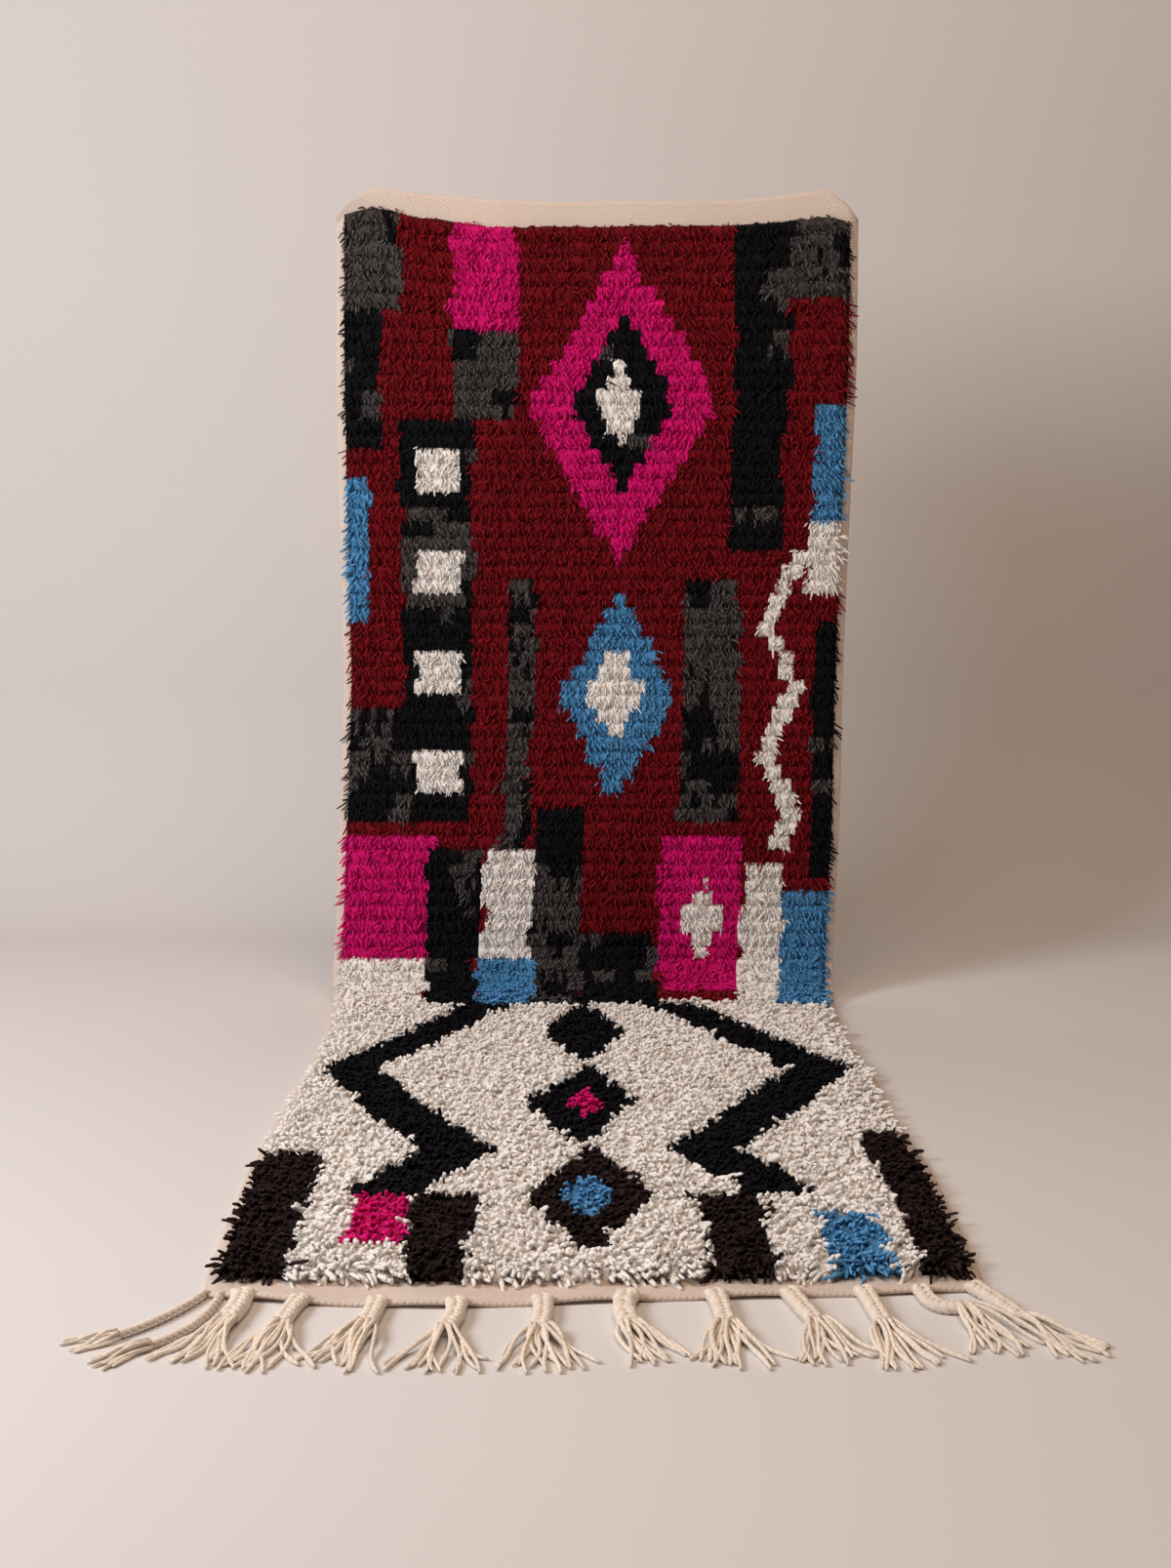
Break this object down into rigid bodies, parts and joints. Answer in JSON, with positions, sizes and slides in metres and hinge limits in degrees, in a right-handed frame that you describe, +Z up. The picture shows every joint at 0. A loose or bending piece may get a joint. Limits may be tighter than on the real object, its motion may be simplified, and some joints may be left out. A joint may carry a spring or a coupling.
{
  "type": "berber runner rug",
  "caption": "Hand-knotted wool runner rug with a blocked multicolour pile, hung by its top edge and laid out on the floor, with plaited cotton fringe.",
  "frame": {"origin": "on the floor, under the middle of the lying half of the rug", "axes": "+X to the right seen from the pile side, +Y from the fringe towards the hanging half, +Z up"},
  "size_m": [0.976, 1.5422, 1.263],
  "materials": {
    "wool_pile": "hand-knotted wool pile, matt",
    "cotton_warp": "undyed cotton and wool yarn, matt"
  },
  "bodies": {
    "root": {"rug_body": "wool_pile", "cord_left_outer": "cotton_warp", "cord_left_inner": "cotton_warp", "tassel_01": "cotton_warp", "tassel_02": "cotton_warp", "tassel_03": "cotton_warp", "tassel_04": "cotton_warp", "tassel_05": "cotton_warp", "tassel_06": "cotton_warp", "tassel_07": "cotton_warp", "tassel_08": "cotton_warp", "tassel_09": "cotton_warp", "tassel_10": "cotton_warp", "tassel_11": "cotton_warp"}
  },
  "joints": []
}
